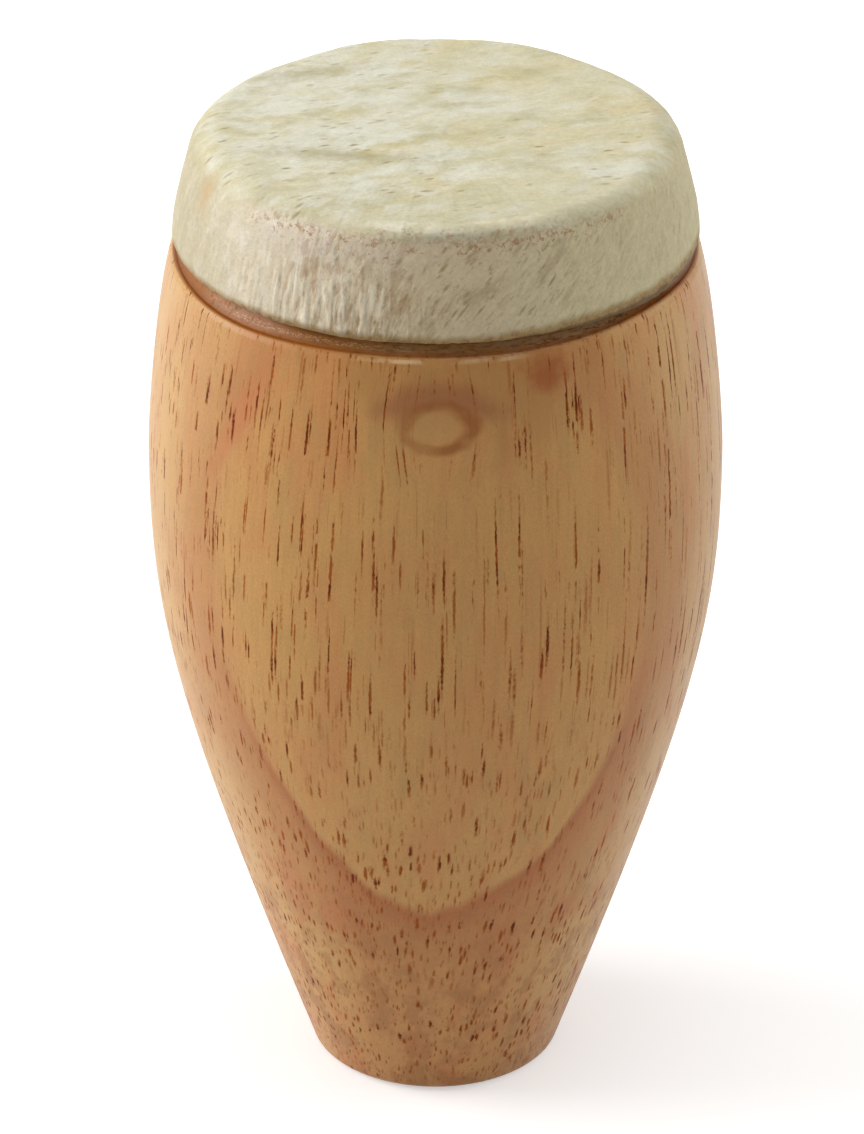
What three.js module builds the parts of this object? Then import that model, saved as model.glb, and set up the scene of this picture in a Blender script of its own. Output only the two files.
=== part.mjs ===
// Hand shaker in the shape of a small barrel drum.
//
// A turned hardwood shell stands on a narrow foot, swells to a belly and draws in again to its mouth.
// A rawhide head is formed over the mouth and glued down in a rebate, with its hem just above a turned lip.
// One layer of steel pellets lies on the floor of the chamber, and flies up against the head in play.
//
// Lengths are in millimetres and angles in radians. +Z is up, and the origin is the centre of the foot's flat face.

import * as THREE from "three";

const degree = Math.PI / 180;

// Outside of the whole shaker
const overallHeight = 102;
const bellyRadius = 28.45;
const bellyHeight = 67.5;
const footRadius = 12.66;
const footEdgeRadius = 1.32;
const coneAngle = 19.2 * degree;
const lipInset = 2.62;
const lipAngle = 18.6 * degree;

// Rawhide head
const skinThickness = 1.2;
const skirtDepth = 10.93;
const skirtTaper = 1.76;
const skirtLean = 15 * degree;
const hemLean = 4.5 * degree;
const crownEdgeRadius = 3.44;
const hemTuck = 0.25;
const hemTuckHeight = 0.7;

// Rebate, and the lip under the hem
const grooveWidth = 1.44;
const lipSlopeHeight = 1.05;
const glueGap = 0.3;

// Chamber
const floorThickness = 20;
const wallThickness = 6;
const rimWidth = 4;
const mouthEdgeRadius = 0.6;
const floorCornerRadius = 1.8;
const chamberAngle = 21 * degree;

// Pellets
const pelletDiameter = 4.5;
const pelletGap = 0.3;
const pelletRings = 2;

// How far a curve's end tangents reach, as shares of the curve's height
const coneReachShare = 0.62;
const bellyReachShare = 0.25;
const shoulderReachShare = 0.2;
const skirtReachShare = 0.33;

// Steps of the round shapes
const roundSteps = 64;
const coneSteps = 11;
const shoulderSteps = 5;
const edgeSteps = 4;
const skirtSteps = 4;
const pelletRoundSteps = 12;
const pelletHeightSteps = 8;
const hexagonSides = 6;

// Radii and heights that follow from the sizes above
const lipRadius = bellyRadius - lipInset;
const hemHeight = overallHeight - skirtDepth;
const lipHeight = hemHeight - grooveWidth;
const crownRadius = lipRadius - skirtTaper - crownEdgeRadius * Math.cos(skirtLean);
const crownEdgeHeight = overallHeight - crownEdgeRadius;
const landDepth = skinThickness + glueGap;
const rimHeight = overallHeight - landDepth;
const mouthRadius = crownRadius + crownEdgeRadius - landDepth - rimWidth;
const chamberBellyRadius = bellyRadius - wallThickness;
const pelletRadius = pelletDiameter / 2;
const pelletPitch = pelletDiameter + pelletGap;
const chamberFloorRadius = pelletRings * pelletPitch + pelletRadius + pelletGap;

const point = (radius, height) => new THREE.Vector2(radius, height);

// Direction that leans outwards from straight up by an angle
const leaning = (angle) => point(Math.sin(angle), Math.cos(angle));

// Curve between two points of a profile that leaves and arrives along two directions
function sweep(start, startDirection, startReach, end, endDirection, endReach) {
  return new THREE.CubicBezierCurve(
    start,
    start.clone().addScaledVector(startDirection, startReach),
    end.clone().addScaledVector(endDirection, -endReach),
    end,
  );
}

// Round corner of a profile, from one angle to another about its centre
function corner(centreRadius, centreHeight, radius, fromAngle, toAngle) {
  const clockwise = toAngle < fromAngle;
  return new THREE.EllipseCurve(centreRadius, centreHeight, radius, radius, fromAngle, toAngle, clockwise);
}

// Points along a curve that climbs from the foot to the crown, each moved inwards by an inset square to it
function pointsAlong(curve, steps, inset = 0) {
  const points = [];
  for (let i = 0; i <= steps; i++) {
    const tangent = curve.getTangent(i / steps);
    const inward = point(-tangent.y, tangent.x);
    points.push(curve.getPoint(i / steps).addScaledVector(inward, inset));
  }
  return points;
}

// Solid turned about the Z axis from a profile that starts and ends on the axis
function turned(profile) {
  return new THREE.LatheGeometry(profile, roundSteps).rotateX(Math.PI / 2);
}

// Rounded start of a wall on a flat floor: it leaves the floor level and ends along the wall's slope
function wallFoot(radius, floorHeight, cornerRadius, wallAngle) {
  const centreRadius = radius - cornerRadius * Math.cos(wallAngle);
  return corner(centreRadius, floorHeight + cornerRadius, cornerRadius, -Math.PI / 2, -wallAngle);
}

// Cone that swells to the belly, from where the wall's foot ends
function coneToBelly(start, wallAngle, end) {
  const height = end.y - start.y;
  const coneReach = (coneReachShare * height) / Math.cos(wallAngle);
  return sweep(start, leaning(wallAngle), coneReach, end, leaning(0), bellyReachShare * height);
}

// Shoulder that draws in above the belly
function shoulderFromBelly(start, end, endAngle) {
  const reach = shoulderReachShare * (end.y - start.y);
  return sweep(start, leaning(0), reach, end, leaning(-endAngle), reach);
}

// Outside of the barrel, from the foot up to the lip
const foot = wallFoot(footRadius, 0, footEdgeRadius, coneAngle);
const belly = point(bellyRadius, bellyHeight);
const cone = coneToBelly(foot.getPoint(1), coneAngle, belly);
const shoulder = shoulderFromBelly(belly, point(lipRadius, lipHeight), lipAngle);

// Outside of the head, from the hem up to the flat crown
const hem = point(lipRadius, hemHeight);
const skirtTop = point(lipRadius - skirtTaper, crownEdgeHeight + crownEdgeRadius * Math.sin(skirtLean));
const skirtReach = skirtReachShare * (skirtTop.y - hem.y);
const skirt = sweep(hem, leaning(-hemLean), skirtReach, skirtTop, leaning(-skirtLean), skirtReach);
const crownEdge = corner(crownRadius, crownEdgeHeight, crownEdgeRadius, skirtLean, Math.PI / 2);

// Chamber, from its floor up to the mouth
const floorCorner = wallFoot(chamberFloorRadius, floorThickness, floorCornerRadius, chamberAngle);
const chamberBelly = point(chamberBellyRadius, bellyHeight);
const chamberCone = coneToBelly(floorCorner.getPoint(1), chamberAngle, chamberBelly);
const mouthEdge = corner(
  mouthRadius + mouthEdgeRadius,
  rimHeight - mouthEdgeRadius,
  mouthEdgeRadius,
  Math.PI,
  Math.PI / 2,
);
const chamberNeck = shoulderFromBelly(chamberBelly, mouthEdge.getPoint(0), 0);

// Turned shell: barrel, lip, rebate for the head, rim and chamber
function shellGeometry() {
  const land = pointsAlong(skirt, skirtSteps, landDepth);
  const outside = [
    point(0, 0),
    ...pointsAlong(foot, edgeSteps),
    ...pointsAlong(cone, coneSteps).slice(1),
    ...pointsAlong(shoulder, shoulderSteps).slice(1),
    point(land[0].x, lipHeight + lipSlopeHeight),
    ...land.slice(1),
    ...pointsAlong(crownEdge, edgeSteps, landDepth).slice(1),
  ];
  const inside = [
    point(0, floorThickness),
    ...pointsAlong(floorCorner, edgeSteps),
    ...pointsAlong(chamberCone, coneSteps).slice(1),
    ...pointsAlong(chamberNeck, shoulderSteps).slice(1),
    ...pointsAlong(mouthEdge, edgeSteps).slice(1),
  ];
  return turned([...outside, ...inside.reverse()]);
}

// Rawhide head: a flat crown, a rounded edge, and a skirt whose hem tucks in a little
function headGeometry() {
  const outside = [
    point(hem.x - hemTuck, hem.y),
    point(hem.x, hem.y + hemTuckHeight),
    ...pointsAlong(skirt, skirtSteps).slice(1),
    ...pointsAlong(crownEdge, edgeSteps).slice(1),
    point(0, overallHeight),
  ];
  const inside = [
    point(hem.x - skinThickness, hem.y),
    ...pointsAlong(skirt, skirtSteps, skinThickness).slice(1),
    ...pointsAlong(crownEdge, edgeSteps, skinThickness).slice(1),
    point(0, overallHeight - skinThickness),
  ];
  return turned([...inside.reverse(), ...outside]);
}

// Centres of the pellets in their layer: one in the middle, and closed hexagonal rings about it
function pelletCentres() {
  const hexagonCorner = (side) => {
    const angle = (2 * Math.PI * side) / hexagonSides;
    return point(Math.cos(angle), Math.sin(angle));
  };
  const centres = [point(0, 0)];
  for (let ring = 1; ring <= pelletRings; ring++) {
    for (let side = 0; side < hexagonSides; side++) {
      for (let step = 0; step < ring; step++) {
        const direction = hexagonCorner(side).lerp(hexagonCorner(side + 1), step / ring);
        centres.push(direction.multiplyScalar(ring * pelletPitch));
      }
    }
  }
  return centres;
}

const wood = new THREE.MeshStandardMaterial({ color: 0xd8a878, roughness: 0.45, metalness: 0 });
const rawhide = new THREE.MeshStandardMaterial({ color: 0xdcd3b4, roughness: 0.75, metalness: 0 });
const steel = new THREE.MeshStandardMaterial({ color: 0x9a9ca0, roughness: 0.3, metalness: 1 });

function named(name, geometry, material) {
  const mesh = new THREE.Mesh(geometry, material);
  mesh.name = name;
  return mesh;
}

// The layer of pellets, which rests on the chamber's floor
function pelletLayer() {
  const geometry = new THREE.SphereGeometry(pelletRadius, pelletRoundSteps, pelletHeightSteps);
  geometry.rotateX(Math.PI / 2);
  const layer = new THREE.Group();
  layer.position.z = floorThickness + pelletGap + pelletRadius;
  pelletCentres().forEach((centre, index) => {
    const pellet = named(`pellet_${String(index + 1).padStart(2, "0")}`, geometry, steel);
    pellet.position.set(centre.x, centre.y, 0);
    layer.add(pellet);
  });
  return layer;
}

const shaker = new THREE.Group();
shaker.add(named("shell", shellGeometry(), wood));
shaker.add(named("rawhide_head", headGeometry(), rawhide));
shaker.add(pelletLayer());

export default shaker;
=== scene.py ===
# Hand shaker: a turned hardwood shell with a rawhide head and a layer of steel pellets.
#
# Lengths are in metres, except where a name ends in _mm, and angles are in radians.
# +Z is up, the origin is the centre of the foot's flat face, and the camera looks along +Y from the front.
# In the materials, places are in millimetres: x goes to the right, y to the back and z up.
# A noise's scale there is one over a length in millimetres.

from math import atan2, cos, exp, pi, radians, sin, tan

import bpy
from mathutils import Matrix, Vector, noise


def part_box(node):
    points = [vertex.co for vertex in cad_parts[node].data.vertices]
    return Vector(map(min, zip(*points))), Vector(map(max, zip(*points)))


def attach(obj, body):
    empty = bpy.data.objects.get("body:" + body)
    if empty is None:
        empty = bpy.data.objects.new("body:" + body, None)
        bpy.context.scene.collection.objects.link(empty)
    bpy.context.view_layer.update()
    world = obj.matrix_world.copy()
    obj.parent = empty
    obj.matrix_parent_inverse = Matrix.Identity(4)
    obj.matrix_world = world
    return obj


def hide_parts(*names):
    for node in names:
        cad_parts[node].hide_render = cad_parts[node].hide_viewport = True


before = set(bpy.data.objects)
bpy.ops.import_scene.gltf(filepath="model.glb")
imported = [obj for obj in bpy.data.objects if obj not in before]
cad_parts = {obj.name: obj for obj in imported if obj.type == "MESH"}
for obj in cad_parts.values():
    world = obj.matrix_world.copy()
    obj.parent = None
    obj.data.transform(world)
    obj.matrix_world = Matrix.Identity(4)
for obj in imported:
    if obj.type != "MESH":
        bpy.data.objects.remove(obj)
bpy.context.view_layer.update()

MM = 0.001

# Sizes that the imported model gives
SHELL_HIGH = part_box("shell")[1]
HEAD_LOW, HEAD_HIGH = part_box("rawhide_head")
PELLET_LOW, PELLET_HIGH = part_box("pellet_01")
HEIGHT = HEAD_HIGH.z
BELLY_RADIUS = SHELL_HIGH.x
LIP_RADIUS = HEAD_HIGH.x
HEM_HEIGHT = HEAD_LOW.z
PELLET_RADIUS = (PELLET_HIGH.z - PELLET_LOW.z) / 2

# Barrel
BELLY_HEIGHT = 67.5 * MM
FOOT_RADIUS = 12.66 * MM
FOOT_EDGE_RADIUS = 1.32 * MM
CONE_ANGLE = radians(19.2)
LIP_ANGLE = radians(18.6)

# Rawhide head
SKIN_THICKNESS = 1.2 * MM
SKIRT_TAPER = 1.76 * MM
SKIRT_LEAN = radians(15)
HEM_LEAN = radians(4.5)
CROWN_EDGE_RADIUS = 3.44 * MM
HEM_TUCK = 0.25 * MM
HEM_TUCK_HEIGHT = 0.7 * MM
HEM_RAGGEDNESS = 0.12 * MM
HEM_BLEND = 4 * MM

# Rebate, and the lip under the hem
GROOVE_WIDTH = 1.44 * MM
LIP_SLOPE_HEIGHT = 1.05 * MM
LIP_EDGE_RADIUS = 0.45 * MM
LIP_EDGE_END_ANGLE = radians(100)
LIP_BLEND = 9 * MM
GLUE_GAP = 0.3 * MM

# Chamber
FLOOR_THICKNESS = 20 * MM
WALL_THICKNESS = 6 * MM
RIM_WIDTH = 4 * MM
MOUTH_EDGE_RADIUS = 0.6 * MM
FLOOR_CORNER_RADIUS = 1.8 * MM
CHAMBER_ANGLE = radians(21)

# Pellets
PELLET_COUNT = 19
PELLET_RINGS = 2
PELLET_GAP = 0.3 * MM
PELLET_UNEVENNESS = 0.04 * MM

# What isn't even round the axis: (amount, angle from the front towards the right, half width)
LIP_DROPS = (
    (0.5 * MM, radians(-50), radians(24)),
    (-0.3 * MM, radians(56), radians(22)),
    (0.35 * MM, pi, radians(60)),
)
HEM_DROPS = ((0.4 * MM, radians(58), radians(20)),)
CROWN_EDGE_CHANGES = (
    (-2.2 * MM, radians(5), radians(28)),
    (-1.1 * MM, radians(50), radians(30)),
    (0.4 * MM, radians(-60), radians(25)),
)
CROWN_EDGE_WAVER_SHARE = 0.3

# Wrinkles of the skirt, in two sets: width and length in millimetres, the noise's value at a crest's foot,
# and the crest's height as a share
WRINKLE_HEIGHT = 0.2 * MM
WRINKLE_SETS = ((0.9, 18, 0.12, 1), (0.6, 12, 0.18, 0.9))
WRINKLE_SET_SHIFT = 9
WRINKLED_HEIGHT_MM = 7.2
WRINKLE_FADE_MM = 3
WRINKLED_ANGLE = radians(-25)
WRINKLED_HALF_WIDTH = radians(22)
FEW_WRINKLES_HALF_WIDTH = radians(70)
FEW_WRINKLES_SHARE = 0.2

# Lumps of the rawhide: (height, width, place in the noise)
LUMPS_MM = ((0.16, 9, (0, 0, 0)), (0.08, 3.2, (7, 3, 1)), (0.03, 1.1, (2, 5, 8)))

# How far a curve's end tangents reach, as shares of the curve's height
CONE_REACH_SHARE = 0.62
BELLY_REACH_SHARE = 0.25
SHOULDER_REACH_SHARE = 0.2
SKIRT_REACH_SHARE = 0.33

# Steps of the meshes
SHELL_ROUND_STEPS = 320
CONE_STEPS = 110
SHOULDER_STEPS = 50
CHAMBER_STEPS = 60
EDGE_STEPS = 10
HEAD_ROUND_STEPS = 720
SKIRT_STEPS = 46
CROWN_EDGE_STEPS = 16
CROWN_STEPS = 72
CROWN_PITCH = 0.12 * MM
MOST_THINNED = 16
PELLET_ROUND_STEPS = 32
PELLET_HEIGHT_STEPS = 16

# Radii and heights that follow from the sizes above
LIP_HEIGHT = HEM_HEIGHT - GROOVE_WIDTH
LAND_DEPTH = SKIN_THICKNESS + GLUE_GAP
RIM_HEIGHT = HEIGHT - LAND_DEPTH
SKIRT_TOP_RADIUS = LIP_RADIUS - SKIRT_TAPER
CROWN_RADIUS = SKIRT_TOP_RADIUS - CROWN_EDGE_RADIUS * cos(SKIRT_LEAN)
MOUTH_RADIUS = CROWN_RADIUS + CROWN_EDGE_RADIUS - LAND_DEPTH - RIM_WIDTH
PELLET_PITCH = 2 * PELLET_RADIUS + PELLET_GAP
CHAMBER_FLOOR_RADIUS = PELLET_RINGS * PELLET_PITCH + PELLET_RADIUS + PELLET_GAP
CHAMBER_BELLY_RADIUS = BELLY_RADIUS - WALL_THICKNESS
HEIGHT_MM = HEIGHT / MM
HEM_HEIGHT_MM = HEM_HEIGHT / MM
BELLY_HEIGHT_MM = BELLY_HEIGHT / MM

# Camera, in the photograph's frame of 864 by 1134 pixels
CAMERA_ELEVATION = radians(27.9)
CAMERA_DISTANCE = 711.2 * MM
CAMERA_LENS_MM = 225.24
SENSOR_MM = 36
ORBIT_CENTRE = Vector((0, 0, 51.8 * MM))
AIM = Vector((-0.35 * MM, 0, 53.8 * MM))

# Studio: a lamp has an azimuth from the front towards the right, an elevation, a size and a level
STUDIO_DISTANCE = 800 * MM
LAMPS = {
    "left_lamp": (radians(-95), radians(25), 500 * MM, 0.73),
    "right_lamp": (radians(100), radians(25), 500 * MM, 0.22),
    "top_lamp": (0, radians(88), 700 * MM, 0.48),
}
WHITE = (1, 1, 1, 1)
WORLD_LEVEL = 0.21
FLOOR_SIZE = 2000 * MM
FLOOR_DROP = 0.1 * MM
FLOOR_GREY = (0.8, 0.8, 0.8, 1)
FLOOR_GLOW = 0.5
FLOOR_SHADOW_MM = (150, 400)

# Growth rings: cylinders about a pith line behind the object, which leans and bends with the height
PITH_MID_HEIGHT_MM = 50
PITH_HEIGHT_UNIT_MM = 50
PITH_X_MM = (0.2, 2.2)
PITH_Y_MM = (37.4, -2.1, 0.6, -2.7)
FRONT_RING_RADIUS_MM = 60
RING_DEPTHS_MM = (0, 12, 23.5, 34, 46)
RING_STRENGTHS = (0.9, 0.4, 0.6, 0.5, 0.7)
RING_BAND_MM = 6.5
RING_LINE_MM = 1.2
RING_WAVER_MM = 1.6
RING_BLUR_MM = (-0.5, 0.9)
RING_BLUR_HEIGHTS_MM = (32, 62)
RING_FADE_HEIGHTS_MM = (38, 60)

# Grain: how far the vessels lean, and the share of the barrel's narrowing that they follow
GRAIN_LEAN = 0.09
GRAIN_FOLLOW_ABOVE_SHARE = 0.12
GRAIN_FOLLOW_BELOW_SHARE = 0.19
GRAIN_LEAN_HEIGHT_MM = 35
GRAIN_RIGHTING_MM = (-20, 5)
GRAIN_PARTING = 0.45

# Vessels: pitch and spacing of their cells in millimetres, share of the cells with one, place in the noise
COARSE_VESSELS = (0.65, 12, 1, 0)
UPPER_VESSELS = (0.6, 14, 1, 71.9)
FINE_VESSELS = (0.5, 8, 0.9, 37.3)
COARSE_HALF_WIDTHS_MM = (0.18, 0.25)
FINE_HALF_WIDTHS_MM = (0.08, 0.16)
VESSEL_WIDENING_HEIGHTS_MM = (60, 22)
VESSEL_DEPTH = 0.015 * MM

# Marks on the shoulder
KNOT_X_MM = 0.2
KNOT_HEIGHT_MM = 82.8
KNOT_HALF_WIDTH_MM = 3.5
KNOT_HALF_HEIGHT_MM = 2.3
KNOT_REACH_MM = 8
STAIN_PLACE_MM = (10.6, -24.2, 87.4)
STAIN_FADE_MM = (1.8, 5)
SHOULDER_PLACE_MM = (3, -25, 87)
SHOULDER_REACH_MM = (15, 12, 9)
RED_STREAK_MM = ((-14.6, -21.9, 89), (-22.2, -17.3, 72))
RED_STREAK_HALF_WIDTH_MM = 1.5

# Marks on the rawhide: a painted crease shade has a middle, a length, a direction and a strength
HAIR_LEAN = radians(20)
CROWN_HAIR_MM = (0.85, 1.5, 0.24, 0.65)
SKIRT_HAIR_MM = (0.85, 1.6, 0.25, 0.75)
CREASE_SHADE_HALF_WIDTH_MM = 1.1
CREASE_SHADE_DEPTH_MM = 10
CREASE_SHADES_MM = (
    (-7.9, -6.6, 13, radians(-8), 0.75),
    (-12.5, 13.0, 7.5, radians(14), 0.6),
    (-16.3, -14.0, 3, radians(60), 0.4),
)
SKIRT_MIDDLE_MM = 96
CROWN_RIM_RADIUS_MM = 22.3
HEAD_STAIN_PLACE_MM = (-21.8, -9.5, 99.2)
HEAD_STAIN_REACH_MM = (1.3, 1.6, 3.8)
RAWHIDE_RELIEF = 0.07 * MM
STEEL_RELIEF = 0.01 * MM


def point(radius, height):
    """A point of a profile."""
    return Vector((radius, height))


def leaning(angle):
    """Direction that leans outwards from straight up by an angle."""
    return point(sin(angle), cos(angle))


def sweep(start, start_direction, start_reach, end, end_direction, end_reach, steps, inset=0):
    """Points of a curve that leaves and arrives along two directions, each moved inwards by an inset."""
    first = start + start_reach * start_direction
    second = end - end_reach * end_direction
    points = []
    for step in range(steps + 1):
        t = step / steps
        s = 1 - t
        place = s**3 * start + 3 * s * s * t * first + 3 * s * t * t * second + t**3 * end
        slope = s * s * (first - start) + 2 * s * t * (second - first) + t * t * (end - second)
        slope.normalize()
        points.append(place + inset * point(-slope.y, slope.x))
    return points


def corner(centre_radius, centre_height, radius, from_angle, to_angle, steps=EDGE_STEPS):
    """Points of a round corner, from one angle to another about its centre."""
    points = []
    for step in range(steps + 1):
        angle = from_angle + (to_angle - from_angle) * step / steps
        points.append(point(centre_radius + radius * cos(angle), centre_height + radius * sin(angle)))
    return points


def wall_foot(radius, floor_height, corner_radius, wall_angle):
    """Rounded start of a wall on a flat floor, from level to the slope of the wall."""
    centre_radius = radius - corner_radius * cos(wall_angle)
    return corner(centre_radius, floor_height + corner_radius, corner_radius, -pi / 2, -wall_angle)


def cone_to_belly(start, wall_angle, end, steps):
    """Cone that swells to the belly, from where the wall's foot ends."""
    height = end.y - start.y
    cone_reach = CONE_REACH_SHARE * height / cos(wall_angle)
    return sweep(start, leaning(wall_angle), cone_reach, end, leaning(0), BELLY_REACH_SHARE * height, steps)


def shoulder_from_belly(start, end, end_angle, steps):
    """Shoulder that draws in above the belly."""
    reach = SHOULDER_REACH_SHARE * (end.y - start.y)
    return sweep(start, leaning(0), reach, end, leaning(-end_angle), reach, steps)


def skirt_curve(skirt_top, steps, inset):
    """Side of the head from the hem up to where its rounded edge starts."""
    hem = point(LIP_RADIUS, HEM_HEIGHT)
    reach = SKIRT_REACH_SHARE * (skirt_top.y - hem.y)
    return sweep(hem, leaning(-HEM_LEAN), reach, skirt_top, leaning(-SKIRT_LEAN), reach, steps, inset)


def stretch(start, count, step, steps):
    """Indices of the points of one row between two of its even steps, from a step to the next one."""
    share = count // steps
    return [start + (step * share + i) % count for i in range(share + 1)]


def grid_mesh(name, rows):
    """Mesh of rows that run round the axis, closed to a point below the first row and above the last one.

    A row has as many points as the next one, or half or twice as many.
    """
    vertices = [vertex for row in rows for vertex in row]
    faces = []
    low = 0
    for row, next_row in zip(rows, rows[1:]):
        high = low + len(row)
        steps = min(len(row), len(next_row))
        for step in range(steps):
            lower = stretch(low, len(row), step, steps)
            upper = stretch(high, len(next_row), step, steps)
            faces.append(lower + upper[::-1])
        low = high
    bottom = len(vertices)
    vertices += [Vector((0, 0, rows[0][0].z)), Vector((0, 0, rows[-1][0].z))]
    faces += [((j + 1) % len(rows[0]), j, bottom) for j in range(len(rows[0]))]
    faces += [(low + j, low + (j + 1) % len(rows[-1]), bottom + 1) for j in range(len(rows[-1]))]
    mesh = bpy.data.meshes.new(name)
    mesh.from_pydata(vertices, [], faces)
    mesh.validate()
    mesh.polygons.foreach_set("use_smooth", [True] * len(mesh.polygons))
    piece = bpy.data.objects.new(name, mesh)
    bpy.context.scene.collection.objects.link(piece)
    return piece


def note(piece, name, values):
    """Keeps a number for each vertex of the piece under a name that its material can read."""
    piece.data.attributes.new(name, "FLOAT", "POINT").data.foreach_set("value", values)


def ring_of(radius, height, steps):
    """One row of a turned shape."""
    angles = [2 * pi * step / steps for step in range(steps)]
    return [Vector((radius * cos(angle), radius * sin(angle), height)) for angle in angles]


def from_front(x, y):
    """Angle round the axis, from the front towards the right."""
    return atan2(x, -y)


def bump(angle, centre, half_width):
    """A smooth rise round the axis: 1 at its centre, and almost 0 beyond twice its half width."""
    turn = (angle - centre + pi) % (2 * pi) - pi
    return exp(-((turn / half_width) ** 2))


def bumps(angle, rises):
    """Sum of smooth rises round the axis, each an amount, a centre and a half width."""
    return sum(amount * bump(angle, centre, half_width) for amount, centre, half_width in rises)


def shell_outside():
    """Outside of the shell from the foot up to the rim: barrel, lip, slope and rebate."""
    foot = wall_foot(FOOT_RADIUS, 0, FOOT_EDGE_RADIUS, CONE_ANGLE)
    belly = point(BELLY_RADIUS, BELLY_HEIGHT)
    cone = cone_to_belly(foot[-1], CONE_ANGLE, belly, CONE_STEPS)
    shoulder = shoulder_from_belly(belly, point(LIP_RADIUS, LIP_HEIGHT), LIP_ANGLE, SHOULDER_STEPS)
    while shoulder[-1].y > LIP_HEIGHT - LIP_EDGE_RADIUS:
        shoulder.pop()
    lip_centre = point(LIP_RADIUS - LIP_EDGE_RADIUS, LIP_HEIGHT - LIP_EDGE_RADIUS)
    lip_edge = corner(lip_centre.x, lip_centre.y, LIP_EDGE_RADIUS, LIP_ANGLE, LIP_EDGE_END_ANGLE)
    crown_edge_height = HEIGHT - CROWN_EDGE_RADIUS
    skirt_top = point(SKIRT_TOP_RADIUS, crown_edge_height + CROWN_EDGE_RADIUS * sin(SKIRT_LEAN))
    land = skirt_curve(skirt_top, EDGE_STEPS, LAND_DEPTH)
    slope_end = point(land[0].x, LIP_HEIGHT + LIP_SLOPE_HEIGHT)
    slope_middle = point(land[0].x + LIP_SLOPE_HEIGHT / 2, LIP_HEIGHT + LIP_SLOPE_HEIGHT / 4)
    slope = []
    for step in range(1, EDGE_STEPS + 1):
        t = step / EDGE_STEPS
        slope.append((1 - t) ** 2 * lip_edge[-1] + 2 * t * (1 - t) * slope_middle + t * t * slope_end)
    rim = corner(CROWN_RADIUS, crown_edge_height, CROWN_EDGE_RADIUS - LAND_DEPTH, SKIRT_LEAN, pi / 2)
    return foot + cone[1:] + shoulder[1:] + lip_edge + slope + land[1:] + rim[1:]


def shell_inside():
    """The chamber from its floor up to its mouth."""
    floor_corner = wall_foot(CHAMBER_FLOOR_RADIUS, FLOOR_THICKNESS, FLOOR_CORNER_RADIUS, CHAMBER_ANGLE)
    belly = point(CHAMBER_BELLY_RADIUS, BELLY_HEIGHT)
    cone = cone_to_belly(floor_corner[-1], CHAMBER_ANGLE, belly, CHAMBER_STEPS)
    mouth_centre = point(MOUTH_RADIUS + MOUTH_EDGE_RADIUS, RIM_HEIGHT - MOUTH_EDGE_RADIUS)
    mouth_edge = corner(mouth_centre.x, mouth_centre.y, MOUTH_EDGE_RADIUS, pi, pi / 2)
    neck = shoulder_from_belly(belly, mouth_edge[0], 0, CHAMBER_STEPS)
    return floor_corner + cone[1:] + neck[1:] + mouth_edge[1:]


def lower_lip(profile, rows):
    """Moves the lip's corner down where the slope above it is wide, and up where it is narrow."""
    drops = [bumps(from_front(place.x, place.y), LIP_DROPS) for place in rows[0]]
    slope_top = LIP_HEIGHT + LIP_SLOPE_HEIGHT
    for place, row in zip(profile, rows):
        if place.x < LIP_RADIUS - LAND_DEPTH or not LIP_HEIGHT - LIP_BLEND < place.y < slope_top:
            continue
        below = (place.y - LIP_HEIGHT + LIP_BLEND) / LIP_BLEND
        above = (slope_top - place.y) / LIP_SLOPE_HEIGHT
        share = min(below, above, 1) ** 2 if below < 1 else min(above, 1)
        for vertex, drop in zip(row, drops):
            vertex *= 1 + share * drop * sin(LIP_ANGLE) / LIP_RADIUS
            vertex.z = place.y - share * drop * cos(LIP_ANGLE)


def make_shell():
    """Turned shell: lacquered outside as its first material, and bare chamber as its second one."""
    outside = shell_outside()
    profile = outside + shell_inside()[::-1]
    rows = [ring_of(place.x, place.y, SHELL_ROUND_STEPS) for place in profile]
    lower_lip(profile, rows)
    shell = grid_mesh("turned_shell", rows)
    heights = [place.y / MM for place in profile for step in range(SHELL_ROUND_STEPS)]
    note(shell, "even_height", heights + [0, FLOOR_THICKNESS / MM])
    first_bare_row = len(outside) - 1
    underside_row = len(rows) - 1
    for index, face in enumerate(shell.data.polygons):
        row = index // SHELL_ROUND_STEPS
        face.material_index = int(row >= first_bare_row and row != underside_row)
    return shell


def crown_edge_radius(angle):
    """Radius of the head's rounded edge: crisp in front, full on the left and at the back."""
    radius = CROWN_EDGE_RADIUS + bumps(angle, CROWN_EDGE_CHANGES)
    return radius * (1 + CROWN_EDGE_WAVER_SHARE * noise.noise(2.5 * Vector((cos(angle), sin(angle), 2))))


def head_profile(angle, inset):
    """Half section of the head at an angle from the front, from the hem up to the middle of the crown."""
    edge = crown_edge_radius(angle)
    rise = (CROWN_EDGE_RADIUS - edge) * (1 - sin(SKIRT_LEAN))
    skirt_top = point(SKIRT_TOP_RADIUS - rise * tan(SKIRT_LEAN), HEIGHT - edge * (1 - sin(SKIRT_LEAN)))
    skirt = skirt_curve(skirt_top, SKIRT_STEPS, inset)
    centre = point(skirt_top.x - edge * cos(SKIRT_LEAN), HEIGHT - edge)
    crown_edge = corner(centre.x, centre.y, edge - inset, SKIRT_LEAN, pi / 2, CROWN_EDGE_STEPS)
    crown = []
    for step in range(1, CROWN_STEPS):
        crown.append(point(centre.x * (1 - step / CROWN_STEPS), HEIGHT - inset))
    return skirt + crown_edge[1:] + crown


def thinned(row):
    """The row with every second point left out, again and again while its points lie too close."""
    pitch = 2 * pi * row[0].xy.length / len(row)
    share = 1
    while share < MOST_THINNED and pitch * share < CROWN_PITCH:
        share *= 2
    return row[::share]


def rows_of(profiles, angles):
    """Rows of a shape whose half section changes with the angle."""
    rows = []
    for places in zip(*profiles):
        row = []
        for place, angle in zip(places, angles):
            row.append(Vector((place.x * cos(angle), place.x * sin(angle), place.y)))
        rows.append(thinned(row))
    return rows


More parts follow.
